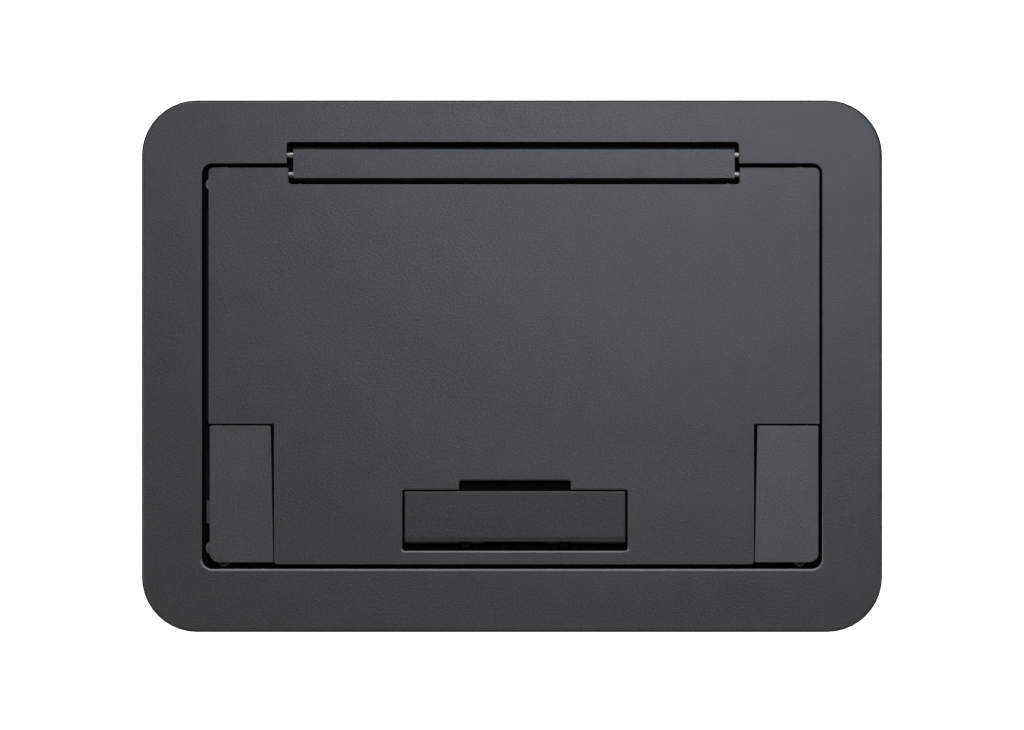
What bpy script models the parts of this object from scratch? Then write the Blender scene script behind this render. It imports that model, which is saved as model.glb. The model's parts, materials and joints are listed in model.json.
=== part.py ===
"""In-floor power and data box cover: trim flange, lid on a double-pivot hinge link, pull handle with
latch hooks and two flip-up cable egress doors.

Metres, +Z up. The origin is at the middle of the collar's bottom edge. +Y is the hinge side, -Y the
handle side. Sizes below are in millimetres and are turned into metres where meshes are made.
"""

import math

import bmesh
import bpy
from mathutils import Vector

MM = 0.001
GAP = 0.3            # between pieces that rest on or lie in each other
BORE_PLAY = 0.1      # radial play of a pin or rod in its bore
OVER = 1.0           # how far a cutting or joining solid reaches past the face it meets
ROUND_STEPS = 28     # sides of a round pin, rod or bore
WELD_DISTANCE = 0.00002
FLAT_ANGLE = 0.2     # degrees within which neighbouring faces count as one flat face
SHARP_ANGLE = 30

# Heights above the collar's bottom edge.
TOP = 30.0           # flange, lid, link and doors are flush here
FLANGE_UNDER = 25.0
LEDGE_TOP = 20.2
LEDGE_UNDER = 17.7
PAD_TOP = 18.0
PAD_UNDER = 13.5
SKIN_UNDER = 26.0    # underside of the lid's skin
RIM_UNDER = 22.0     # underside of the rims that come down onto the seals

# Trim flange, half sizes about the middle.
FLANGE_HALF = (181.0, 130.0)
FLANGE_CORNER = 27.0
FLANGE_EDGE = 1.8
OPENING_HALF = (151.45, 99.0)
OPENING_CORNER = 5.0
COLLAR_WALL = 3.2
COLLAR_CORNER = 7.0
LEDGE_WIDTH = 5.6
PAD_SIZE = 20.5
PAD_CORNER = 1.5

# Foam gasket and seals.
GASKET_THICK = 1.5
GASKET_INSET = 4.0
GASKET_CLEAR = 4.4
SEAL_WIDTH = 4.0
SEAL_INSET = 0.7
SEAL_CORNER = 0.8
SIDE_SEAL_END = 77.5
FRONT_SEAL_HALF = 129.5
REAR_SEAL_HALF = 119.0
REAR_SEAL_FRONT = 85.0
SIDE_SEAL_BREAK = (-40.5, -27.0)    # where each door's rear edge swings down

# Hold-down screws and their square plates, turned a quarter of a right angle on the corner pads.
HOLD_DOWN = (141.7, 89.5)
CLAMP_HALF, CLAMP_CORNER, CLAMP_THICK = 7.4, 3.0, 1.5
SCREW_HOLE, SCREW_SHANK, SCREW_TIP = 2.75, 2.4, 2.0
SCREW_HEAD = ((4.8, 0.0), (4.8, 1.6), (4.2, 2.6), (2.9, 3.1))    # radius and height of each ring
DRIVE_HALF, DRIVE_SLOT_HALF, DRIVE_FLOOR = 2.6, 0.45, 1.5

# Hinge: link and its two rods.
LINK_X = (-106.85, 108.75)
LINK_FRONT, LINK_REAR = 90.9, 106.8
LINK_UNDER = 24.0
LINK_EDGE = 1.0
LINK_CELLS = 4
LINK_END_WALL, LINK_CELL_WALL = 6.0, 1.5
LINK_GROOVE_HALF, LINK_GROOVE_TOP = 1.9, 27.5
ROD_RADIUS = 1.5
ROD_HALF, ROD_BORE_HALF = 117.0, 118.5
ROD_CHAMFER = 0.4
FRAME_ROD_Y, LID_ROD_Y, ROD_Z = 103.2, 93.7, 27.0
FRAME_NOTCH_X, FRAME_NOTCH_HALF, FRAME_NOTCH_REAR = 0.4, 110.4, 109.4
NOTCH_CORNER = 1.5
SHELF_HALF, SHELF_FRONT = 122.0, 84.5

# Lid, about its own middle line, which lies a little to the right in the opening.
LID_X = 1.0
LID_HALF = 149.1
LID_FRONT, LID_REAR = -96.8, 96.9
LID_REAR_CORNER, LID_FRONT_CORNER = 2.3, 2.0
LID_NOTCH_HALF, LID_NOTCH_FRONT = 110.2, 88.8
CUTOUT_X, CUTOUT_REAR = 117.2, -28.2
RIM = 3.0
RIB = 2.4
RIB_UNDER = 22.6
RIBS_ACROSS_Y = (-26.4, 15.0, 52.0)
SHORT_RIBS_X = (-40.0, 0.0, 40.0)
LONG_RIBS_X = (-85.0, 85.0)
EAR_UNDER = 23.6
SIDE_RIM_REAR = 76.0
CORNER_RIB_X = 122.0
GATE_NUB = (104.0, 105.2, 0.35)     # mould gate marks on the notch: ends along X and height
DOOR_REST = (-92.0, -46.0, 3.0)     # strips under the doors: ends along Y and width

# Handle and its recess in the lid, about their own middle line.
HANDLE_X = 1.45
RECESS_HALF, RECESS_FRONT, RECESS_REAR = 55.0, -90.2, -60.45
FINGER_HALF, FINGER_REAR = 27.2, -55.8
RECESS_FLOOR, BUCKET_UNDER, BUCKET_WALL = 19.5, 17.5, 2.2
RECESS_CORNER = 1.2
HANDLE_HALF, HANDLE_REAR = 53.9, -61.05
HANDLE_TOP, HANDLE_SKIN, HANDLE_RIM_UNDER = 29.6, 2.6, 24.8
HANDLE_REAR_EDGE = 0.8
HANDLE_SIDE_RIM, HANDLE_REAR_RIM = 2.2, 2.6
HANDLE_ROD_Y, HANDLE_ROD_Z, HANDLE_ROD_RADIUS = -83.3, 26.0, 1.25
HANDLE_ROD_HALF, HANDLE_BORE_HALF = 59.5, 60.3
ROD_BOSS = 4.0
ROD_BOSS_OUTER = 62.5
BARREL_RADIUS = 3.6
SPRING_WINDOW = (15.0, 3.9, 2.35)   # half width, reach behind the rod and height above it

# Latch hooks on the handle's rod, and the screws that hold them.
HOOK_X, HOOK_THICK = 24.3, 4.0
HOOK_SLOT = (-89.8, -69.0)
HOOK_SLOT_HALF, HOOK_NOTCH_HALF, HOOK_NOTCH_TOP = 3.2, 2.4, 28.5
HOOK_EYE = 2.3
HOOK_FRONT, HOOK_BACK = -89.5, -85.4
HOOK_SHOULDER = (2.1, 25.4, 23.6)   # reach behind the front face, and the slope's two heights
HOOK_HEEL = (1.0, 1.4)              # cut off the lower back corner, along Y and Z
NOSE_TIP, NOSE_UNDER, NOSE_CHAMFER, NOSE_SLOPE = -97.2, 2.6, 0.6, 2.2
NOSE_ROOM = 0.5
FOOT_HALF, FOOT_FRONT, FOOT_REAR, FOOT_THICK = 5.0, -75.8, -66.2, 1.6
FOOT_BOSS_HALF, FOOT_BOSS_UNDER = 5.5, 24.2
FOOT_TOP_FRONT = 2.7
LATCH_SCREW_Y, LATCH_SCREW_SHANK, LATCH_SCREW_HEAD = -71.0, 1.15, 2.3
LATCH_HEAD_HIGH, LATCH_SCREW_TOP, LATCH_HOLE_TOP = 1.3, 27.6, 28.0
LATCH_DRIVE_HALF, LATCH_DRIVE_DEEP = 1.6, 0.7

# Handle spring.
SPRING_HALF, SPRING_WIRE = 7.4, 0.3
SPRING_COIL_RADIUS, SPRING_TURNS, SPRING_PITCH = 1.75, 5, 0.75
SPRING_STEPS = 12
SPRING_LEG = (2.3, 1.9)             # free ends, in front of the rod and above it
BAIL_Y = -89.0
BAIL_START = (2.6, 0.6)
BAIL_BEND = (0.3, 1.0)
BAIL_CORNER = 0.6

# Egress doors in the lid's two front corners. Their inner edge spreads towards the front.
DOOR_INNER, DOOR_INNER_FRONT, DOOR_OUTER = 118.85, 117.55, 148.6
DOOR_FRONT, DOOR_REAR = -95.8, -29.1
DOOR_UNDER = 26.5
DOOR_RIM = 2.5
DOOR_CORNER, DOOR_SMALL_CORNER = 4.5, 0.6
DOOR_CORNER_RELIEF = (129.0, -77.5)
DOOR_PIN_Y, DOOR_PIN_Z, DOOR_PIN_RADIUS = -34.7, 26.8, 1.0
DOOR_PIN_INSET = 3.2
KNUCKLE_RADIUS, EAR_RADIUS = 2.4, 2.0
KNUCKLE_INSET = 1.5
DOOR_BORE_INSET = (2.2, 2.6)
EARS_X = (124.6, 139.4)
EAR_WIDTH = 4.0
EAR_ROOM, EAR_ROOM_ABOVE = 0.6, 0.2
BRACKET_X = (120.5, 144.0)
BRACKET_FRONT, BRACKET_REAR = -37.2, -8.0
BRACKET_UNDER, BRACKET_TOP = 17.4, 19.4
BRACKET_SCREWS = ((126.0, -15.0), (138.5, -15.0))
BRACKET_BOSS, BRACKET_HOLE, BRACKET_SHANK, BRACKET_HEAD, BRACKET_HEAD_HIGH = 4.6, 2.1, 1.8, 3.5, 2.2
BRACKET_DRIVE_HALF, BRACKET_DRIVE_DEEP = 2.4, 1.1
SNAP_TAB = ((147.6, -77.0, 24.5), (150.45, -65.7, 27.5))

# Colour, roughness and metallic value of each material.
BLACK_POWDER = ((0.055, 0.058, 0.062, 1.0), 0.55, 0.0)
ZINC = ((0.62, 0.63, 0.64, 1.0), 0.35, 1.0)
BRIGHT_STEEL = ((0.78, 0.79, 0.80, 1.0), 0.22, 1.0)
BLACK_STEEL = ((0.04, 0.04, 0.042, 1.0), 0.4, 1.0)
FOAM = ((0.03, 0.03, 0.032, 1.0), 0.9, 0.0)


def clear_scene():
    for old in list(bpy.data.objects):
        bpy.data.objects.remove(old, do_unlink=True)


def make_material(name, look):
    colour, roughness, metallic = look
    material = bpy.data.materials.new(name)
    material.use_nodes = True
    shader = material.node_tree.nodes["Principled BSDF"]
    shader.inputs["Base Color"].default_value = colour
    shader.inputs["Roughness"].default_value = roughness
    shader.inputs["Metallic"].default_value = metallic
    return material


def arc(centre, radius, start, end, steps):
    """Points on an arc, angles in degrees, both ends included."""
    points = []
    for i in range(steps + 1):
        angle = math.radians(start + (end - start) * i / steps)
        points.append((centre[0] + radius * math.cos(angle), centre[1] + radius * math.sin(angle)))
    return points


def circle(centre, radius, steps=ROUND_STEPS):
    return arc(centre, radius, 0, 360 - 360 / steps, steps - 1)


def rounded_outline(low, high, radii, steps=5):
    """Counter-clockwise rectangle; radii are (left-front, right-front, right-rear, left-rear)."""
    x0, y0 = low
    x1, y1 = high
    corners = (
        ((x0, y0), (1, 1), 180),
        ((x1, y0), (-1, 1), 270),
        ((x1, y1), (-1, -1), 0),
        ((x0, y1), (1, -1), 90),
    )
    outline = []
    for (corner, inward, start), radius in zip(corners, radii):
        if radius <= 0:
            outline.append(corner)
            continue
        centre = (corner[0] + inward[0] * radius, corner[1] + inward[1] * radius)
        outline += arc(centre, radius, start, start + 90, steps)
    return outline


def loft(loops):
    """A closed mesh through loops of equal length, capped at both ends."""
    bm = bmesh.new()
    rings = [[bm.verts.new(Vector(p) * MM) for p in loop] for loop in loops]
    count = len(rings[0])
    for lower, upper in zip(rings, rings[1:]):
        for i in range(count):
            j = (i + 1) % count
            bm.faces.new((lower[i], lower[j], upper[j], upper[i]))
    bm.faces.new(rings[0][::-1])
    bm.faces.new(rings[-1])
    bmesh.ops.recalc_face_normals(bm, faces=bm.faces)
    mesh = bpy.data.meshes.new("solid")
    bm.to_mesh(mesh)
    bm.free()
    body = bpy.data.objects.new("solid", mesh)
    bpy.context.scene.collection.objects.link(body)
    return body


def prism(outline, z0, z1):
    """An outline in X and Y, raised from z0 to z1."""
    return loft([[(x, y, z) for x, y in outline] for z in (z0, z1)])


def prism_x(profile, x0, x1):
    """A profile in Y and Z, drawn out from x0 to x1."""
    return loft([[(x, y, z) for y, z in profile] for x in (x0, x1)])


def block(low, high):
    return prism(rounded_outline(low[:2], high[:2], (0, 0, 0, 0)), low[2], high[2])


def slab(low, high, radius, z0, z1, steps=5):
    return prism(rounded_outline(low, high, (radius,) * 4, steps), z0, z1)


def disc(centre, radius, z0, z1, steps=ROUND_STEPS):
    return prism(circle(centre, radius, steps), z0, z1)


def rod_x(y, z, radius, x0, x1, steps=ROUND_STEPS):
    return prism_x(circle((y, z), radius, steps), x0, x1)


def cross_drive(centre, half, z0, z1):
    """Two crossed slots that cut a screw's drive."""
    x, y = centre
    thin = DRIVE_SLOT_HALF
    return [
        block((x - half, y - thin, z0), (x + half, y + thin, z1)),
        block((x - thin, y - half, z0), (x + thin, y + half, z1)),
    ]


def combine(body, others, operation):
    """Joins others to body, or cuts them from it, and removes them."""
    for other in others:
        modifier = body.modifiers.new(operation, "BOOLEAN")
        modifier.operation = operation
        modifier.solver = "EXACT"
        modifier.object = other
        bpy.context.view_layer.update()
        evaluated = body.evaluated_get(bpy.context.evaluated_depsgraph_get())
        result = bpy.data.meshes.new_from_object(evaluated)
        body.modifiers.clear()
        body.data = result
        bpy.data.objects.remove(other, do_unlink=True)
    return body


def build(added, removed=()):
    """One solid from pieces joined together, then cut."""
    body = combine(added[0], added[1:], "UNION")
    return combine(body, removed, "DIFFERENCE")


def finish(body, name, material, pivot=(0.0, 0.0, 0.0)):
    """Names the piece, welds its seams, sets its material and puts its origin on its joint's axis."""
    bm = bmesh.new()
    bm.from_mesh(body.data)
    bmesh.ops.remove_doubles(bm, verts=bm.verts, dist=WELD_DISTANCE)
    bmesh.ops.dissolve_limit(bm, angle_limit=math.radians(FLAT_ANGLE), verts=bm.verts, edges=bm.edges)
    bmesh.ops.recalc_face_normals(bm, faces=bm.faces)
    origin = Vector(pivot) * MM
    bmesh.ops.translate(bm, verts=bm.verts, vec=-origin)
    mesh = bpy.data.meshes.new(name)
    bm.to_mesh(mesh)
    bm.free()
    mesh.materials.append(material)
    mesh.shade_smooth()
    mesh.set_sharp_from_angle(angle=math.radians(SHARP_ANGLE))
    body.data = mesh
    body.name = name
    body.location = origin
    return body


def side_block(side, low, high, middle=0.0):
    """A block on one side of a middle line: side is -1 on the left and 1 on the right."""
    x0, x1 = sorted((middle + side * low[0], middle + side * high[0]))
    return block((x0, low[1], low[2]), (x1, high[1], high[2]))


def lid_side(side, low, high):
    """A block on one side of the lid, given about the lid's middle line."""
    return side_block(side, low, high, LID_X)


def centred_block(middle, half, y0, y1, z0, z1):
    """A block given by its half width about a middle line."""
    return block((middle - half, y0, z0), (middle + half, y1, z1))


def flange_loops():
    """Outer edge of the flange: upright, then rounded over onto the top."""
    hx, hy = FLANGE_HALF
    loops = []
    sections = [(0.0, FLANGE_UNDER)]
    for angle in (0, 30, 60, 90):
        inset = FLANGE_EDGE * (1 - math.cos(math.radians(angle)))
        drop = FLANGE_EDGE * (1 - math.sin(math.radians(angle)))
        sections.append((inset, TOP - drop))
    for inset, z in sections:
        low = (-hx + inset, -hy + inset)
        high = (hx - inset, hy - inset)
        outline = rounded_outline(low, high, (FLANGE_CORNER - inset,) * 4, 10)
        loops.append([(x, y, z) for x, y in outline])
    return loops


def trim_flange(material):
    ox, oy = OPENING_HALF
    wall = COLLAR_WALL
    joined = FLANGE_UNDER + OVER
    open_top = TOP + OVER
    notch_low = (FRAME_NOTCH_X - FRAME_NOTCH_HALF, SHELF_FRONT - 2 * OVER)
    notch_high = (FRAME_NOTCH_X + FRAME_NOTCH_HALF, FRAME_NOTCH_REAR)
    hollow_half = FRAME_NOTCH_HALF - NOTCH_CORNER
    inner_x, inner_y = ox - LEDGE_WIDTH, oy - LEDGE_WIDTH
    added = [
        loft(flange_loops()),
        slab((-ox - wall, -oy - wall), (ox + wall, oy + wall), COLLAR_CORNER, 0.0, joined),
        slab((-SHELF_HALF, SHELF_FRONT), (SHELF_HALF, FRAME_NOTCH_REAR + wall), 2.0, PAD_UNDER, joined, 3),
    ]
    removed = [
        slab((-ox, -oy), (ox, oy), OPENING_CORNER, LEDGE_TOP, open_top),
        slab(notch_low, notch_high, NOTCH_CORNER, LEDGE_TOP, open_top, 3),
        slab((-ox, -oy), (ox, oy), OPENING_CORNER, -OVER, LEDGE_UNDER),
        centred_block(0.0, hollow_half, oy - 3 * OVER, FRAME_NOTCH_REAR, PAD_UNDER - OVER, LEDGE_UNDER),
        centred_block(0.0, inner_x, -inner_y, SHELF_FRONT, LEDGE_UNDER - OVER, LEDGE_TOP + OVER),
    ]
    for side in (-1, 1):
        low = (SHELF_HALF, SHELF_FRONT - OVER, LEDGE_UNDER - OVER)
        removed.append(side_block(side, low, (inner_x, inner_y, LEDGE_TOP + OVER)))
    body = build(added, removed)
    pads = []
    cuts = [rod_x(FRAME_ROD_Y, ROD_Z, ROD_RADIUS + BORE_PLAY, -ROD_BORE_HALF, ROD_BORE_HALF)]
    for side in (-1, 1):
        for end in (-1, 1):
            x0, x1 = sorted((side * (ox - PAD_SIZE), side * (ox + OVER)))
            y0, y1 = sorted((end * (oy - PAD_SIZE), end * (oy + OVER)))
            pads.append(slab((x0, y0), (x1, y1), PAD_CORNER, PAD_UNDER, LEDGE_TOP - OVER, 3))
            x0, x1 = sorted((side * (ox - PAD_SIZE - OVER), side * ox))
            y0, y1 = sorted((end * (oy - PAD_SIZE - OVER), end * oy))
            cuts.append(slab((x0, y0), (x1, y1), OPENING_CORNER, PAD_TOP, LEDGE_TOP + OVER))
            centre = (side * HOLD_DOWN[0], end * HOLD_DOWN[1])
            cuts.append(disc(centre, SCREW_HOLE, PAD_UNDER - OVER, PAD_TOP + OVER, 20))
    combine(body, pads, "UNION")
    combine(body, cuts, "DIFFERENCE")
    return finish(body, "trim_flange", material)


def floor_gasket(material):
    ox, oy = OPENING_HALF
    z1 = FLANGE_UNDER - GAP
    z0 = z1 - GASKET_THICK
    hx, hy = FLANGE_HALF[0] - GASKET_INSET, FLANGE_HALF[1] - GASKET_INSET
    clear = GASKET_CLEAR
    inner_high = (ox + clear, FRAME_NOTCH_REAR + clear)
    outer = slab((-hx, -hy), (hx, hy), FLANGE_CORNER - GASKET_INSET, z0, z1, 8)
    inner = slab((-ox - clear, -oy - clear), inner_high, 6.0, z0 - OVER, z1 + OVER, 4)
    return finish(build([outer], [inner]), "floor_gasket", material)


def lid_seals(material):
    """Foam strips on the frame's ledge and rear shelf, with a break where each door swings down."""
    z0, z1 = LEDGE_TOP + GAP, RIM_UNDER - GAP
    x0 = OPENING_HALF[0] - LEDGE_WIDTH + SEAL_INSET
    y0 = OPENING_HALF[1] - LEDGE_WIDTH + SEAL_INSET
    x1, y1 = x0 + SEAL_WIDTH, y0 + SEAL_WIDTH
    front_end, rear_end = SIDE_SEAL_BREAK
    rear_seal_rear = REAR_SEAL_FRONT + SEAL_WIDTH
    strips = {
        "lid_seal_left": ((-x1, rear_end), (-x0, SIDE_SEAL_END)),
        "lid_seal_right": ((x0, rear_end), (x1, SIDE_SEAL_END)),
        "door_seal_left": ((-x1, -SIDE_SEAL_END), (-x0, front_end)),
        "door_seal_right": ((x0, -SIDE_SEAL_END), (x1, front_end)),
        "lid_seal_front": ((-FRONT_SEAL_HALF, -y1), (FRONT_SEAL_HALF, -y0)),
        "lid_seal_rear": ((-REAR_SEAL_HALF, REAR_SEAL_FRONT), (REAR_SEAL_HALF, rear_seal_rear)),
    }
    for name, (low, high) in strips.items():
        finish(slab(low, high, SEAL_CORNER, z0, z1, 2), name, material)


def turned(outline, centre):
    """An outline about the origin, turned by 45 degrees and moved to a centre."""
    half_diagonal = math.sqrt(0.5)
    x, y = centre
    return [(x + (px - py) * half_diagonal, y + (px + py) * half_diagonal) for px, py in outline]


def hold_downs(material):
    """A square plate, turned by 45 degrees, and a pan-head screw on each corner pad."""
    plate_base = PAD_TOP + GAP
    plate_top = plate_base + CLAMP_THICK
    head_base = plate_top + GAP
    square = rounded_outline((-CLAMP_HALF, -CLAMP_HALF), (CLAMP_HALF, CLAMP_HALF), (CLAMP_CORNER,) * 4)
    for end, end_name in ((-1, "front"), (1, "rear")):
        for side, side_name in ((-1, "left"), (1, "right")):
            centre = (side * HOLD_DOWN[0], end * HOLD_DOWN[1])
            plate = prism(turned(square, centre), plate_base, plate_top)
            hole = disc(centre, SCREW_HOLE, plate_base - OVER, plate_top + OVER, 20)
            finish(build([plate], [hole]), f"hold_down_washer_{end_name}_{side_name}", material)
            rings = []
            for radius, height in SCREW_HEAD:
                rings.append([(px, py, head_base + height) for px, py in circle(centre, radius, 24)])
            shank = disc(centre, SCREW_SHANK, SCREW_TIP, head_base + OVER / 2, 20)
            drive = cross_drive(centre, DRIVE_HALF, head_base + DRIVE_FLOOR, head_base + 4 * OVER)
            screw = build([loft(rings), shank], drive)
            finish(screw, f"hold_down_screw_{end_name}_{side_name}", material)


def hinge_link(material):
    """The bar between frame and lid, rounded on its long edges and hollowed along its underside."""
    edge = LINK_EDGE
    profile = []
    for centre, start in (
        ((LINK_FRONT + edge, LINK_UNDER + edge), 180),
        ((LINK_REAR - edge, LINK_UNDER + edge), 270),
        ((LINK_REAR - edge, TOP - edge), 0),
        ((LINK_FRONT + edge, TOP - edge), 90),
    ):
        profile += arc(centre, edge, start, start + 90, 3)
    x0, x1 = LINK_X
    cuts = []
    for y in (FRAME_ROD_Y, LID_ROD_Y):
        cuts.append(rod_x(y, ROD_Z, ROD_RADIUS + BORE_PLAY, x0 - OVER, x1 + OVER))
    middle = (FRAME_ROD_Y + LID_ROD_Y) / 2
    cell = (x1 - x0 - 2 * LINK_END_WALL) / LINK_CELLS
    for i in range(LINK_CELLS):
        start = x0 + LINK_END_WALL + i * cell
        low = (start + LINK_CELL_WALL, middle - LINK_GROOVE_HALF, LINK_UNDER - OVER)
        cuts.append(block(low, (start + cell - LINK_CELL_WALL, middle + LINK_GROOVE_HALF, LINK_GROOVE_TOP)))
    link = build([prism_x(profile, x0, x1)], cuts)
    return finish(link, "hinge_link", material, (0.0, FRAME_ROD_Y, ROD_Z))


def steel_rod(name, y, z, radius, x0, x1, material):
    """A rod with a small chamfer at both ends."""
    thin = radius - ROD_CHAMFER
    loops = []
    for x, r in ((x0, thin), (x0 + ROD_CHAMFER, radius), (x1 - ROD_CHAMFER, radius), (x1, thin)):
        loops.append([(x, py, pz) for py, pz in circle((y, z), r)])
    return finish(loft(loops), name, material, ((x0 + x1) / 2, y, z))


def lid_skin():
    """The lid's plate: full width at the rear, stepped in at the egress doors, notched for the link."""
    x0, x1 = LID_X - LID_HALF, LID_X + LID_HALF
    corner = LID_FRONT_CORNER
    front_outline = rounded_outline(
        (LID_X - CUTOUT_X, LID_FRONT), (LID_X + CUTOUT_X, 0.0), (corner, corner, 0.0, 0.0), 4
    )
    return [
        slab((x0, CUTOUT_REAR), (x1, LID_REAR), LID_REAR_CORNER, SKIN_UNDER, TOP, 4),
        block((x0, CUTOUT_REAR, SKIN_UNDER), (x1, 0.0, TOP)),
        prism(front_outline, SKIN_UNDER, TOP),
    ]


def lid_rims():
    """Rims that come down onto the seals, and around the hold-down pads."""
    z0, z1 = RIM_UNDER, SKIN_UNDER + OVER
    bucket_front = RECESS_FRONT - BUCKET_WALL
    rims = [
        centred_block(LID_X, CUTOUT_X, LID_FRONT, LID_FRONT + RIM, z0, z1),
        centred_block(HANDLE_X, RECESS_HALF + BUCKET_WALL, LID_FRONT, bucket_front, z0, z1),
        centred_block(LID_X, CORNER_RIB_X, LID_NOTCH_FRONT - RIM, LID_NOTCH_FRONT, z0, z1),
    ]
    cutout_in = CUTOUT_X - RIM
    corner_in = CORNER_RIB_X - RIM
    ear_front = LID_NOTCH_FRONT - OVER
    rest_front, rest_rear, rest_width = DOOR_REST
    rest_top = DOOR_UNDER - GAP
    for side in (-1, 1):
        rims += [
            lid_side(side, (cutout_in, LID_FRONT, z0), (CUTOUT_X, CUTOUT_REAR + RIM, z1)),
            lid_side(side, (cutout_in, CUTOUT_REAR, z0), (LID_HALF, CUTOUT_REAR + RIM, z1)),
            lid_side(side, (LID_HALF - RIM, CUTOUT_REAR, z0), (LID_HALF, SIDE_RIM_REAR, z1)),
            lid_side(side, (corner_in, SIDE_RIM_REAR - RIM, z0), (LID_HALF, SIDE_RIM_REAR, z1)),
            lid_side(side, (corner_in, SIDE_RIM_REAR - RIM, z0), (CORNER_RIB_X, LID_NOTCH_FRONT, z1)),
            lid_side(side, (LID_NOTCH_HALF, ear_front, EAR_UNDER), (CORNER_RIB_X, LID_REAR, z1)),
            lid_side(side, (CUTOUT_X - OVER, rest_front, z0), (CUTOUT_X + rest_width, rest_rear, rest_top)),
        ]
    return rims


def lid_ribs():
    """Stiffening ribs under the skin."""
    z0, z1 = RIB_UNDER, SKIN_UNDER + OVER
    rear = LID_NOTCH_FRONT - OVER
    ribs = []
    for x in SHORT_RIBS_X:
        ribs.append(centred_block(LID_X + x, RIB / 2, RECESS_REAR + BUCKET_WALL - OVER, rear, z0, z1))
    for x in LONG_RIBS_X:
        ribs.append(centred_block(LID_X + x, RIB / 2, LID_FRONT + OVER, rear, z0, z1))
    for y in RIBS_ACROSS_Y:
        ribs.append(centred_block(LID_X, LID_HALF - OVER, y - RIB / 2, y + RIB / 2, z0, z1))
    return ribs


def lid_plate(material):
    z1 = SKIN_UNDER + OVER
    open_top = TOP + OVER
    wall = BUCKET_WALL
    boss_front, boss_rear = HANDLE_ROD_Y - ROD_BOSS, HANDLE_ROD_Y + ROD_BOSS
    bosses = [
        centred_block(
            HANDLE_X, RECESS_HALF + wall, RECESS_FRONT - wall, RECESS_REAR + wall, BUCKET_UNDER, z1
        ),
        centred_block(HANDLE_X, FINGER_HALF + wall, RECESS_REAR, FINGER_REAR + wall, BUCKET_UNDER, z1),
    ]
    notch_x0, notch_x1 = LID_X - LID_NOTCH_HALF, LID_X + LID_NOTCH_HALF
    recess_x0, recess_x1 = HANDLE_X - RECESS_HALF, HANDLE_X + RECESS_HALF
    finger_x0, finger_x1 = HANDLE_X - FINGER_HALF, HANDLE_X + FINGER_HALF
    rod_x0, rod_x1 = HANDLE_X - HANDLE_BORE_HALF, HANDLE_X + HANDLE_BORE_HALF
    cuts = [
        slab(
            (notch_x0, LID_NOTCH_FRONT), (notch_x1, LID_REAR + 3 * OVER), NOTCH_CORNER,
            EAR_UNDER - 3 * OVER, open_top, 3,
        ),
        slab((recess_x0, RECESS_FRONT), (recess_x1, RECESS_REAR), RECESS_CORNER, RECESS_FLOOR, open_top, 3),
        slab(
            (finger_x0, RECESS_REAR - 3 * OVER), (finger_x1, FINGER_REAR), RECESS_CORNER,
            RECESS_FLOOR, open_top, 3,
        ),
        rod_x(LID_ROD_Y, ROD_Z, ROD_RADIUS + BORE_PLAY, LID_X - ROD_BORE_HALF, LID_X + ROD_BORE_HALF),
        rod_x(HANDLE_ROD_Y, HANDLE_ROD_Z, HANDLE_ROD_RADIUS + BORE_PLAY, rod_x0, rod_x1),
    ]
    nub_in, nub_out, nub_high = GATE_NUB
    nubs = []
    for side in (-1, 1):
        boss_low, boss_high = (RECESS_HALF, boss_front, RIM_UNDER), (ROD_BOSS_OUTER, boss_rear, z1)
        bosses.append(side_block(side, boss_low, boss_high, HANDLE_X))
        for x, y in BRACKET_SCREWS:
            centre = (LID_X + side * x, y)
            bosses.append(disc(centre, BRACKET_BOSS, BRACKET_TOP + GAP, z1, 20))
            cuts.append(disc(centre, BRACKET_HOLE, BRACKET_TOP, z1, 16))
        slot_low = (HOOK_X - HOOK_SLOT_HALF, HOOK_SLOT[0], BUCKET_UNDER - OVER)
        slot_high = (HOOK_X + HOOK_SLOT_HALF, HOOK_SLOT[1], RECESS_FLOOR + OVER)
        cuts.append(side_block(side, slot_low, slot_high, HANDLE_X))
        nub_low = (nub_in, LID_NOTCH_FRONT - OVER, SKIN_UNDER + GAP)
        nubs.append(lid_side(side, nub_low, (nub_out, LID_NOTCH_FRONT + nub_high, TOP - GAP)))
    body = build(lid_skin() + lid_rims() + lid_ribs() + bosses, cuts)
    combine(body, nubs, "UNION")
    return finish(body, "lid_plate", material, (0.0, LID_ROD_Y, ROD_Z))


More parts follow.
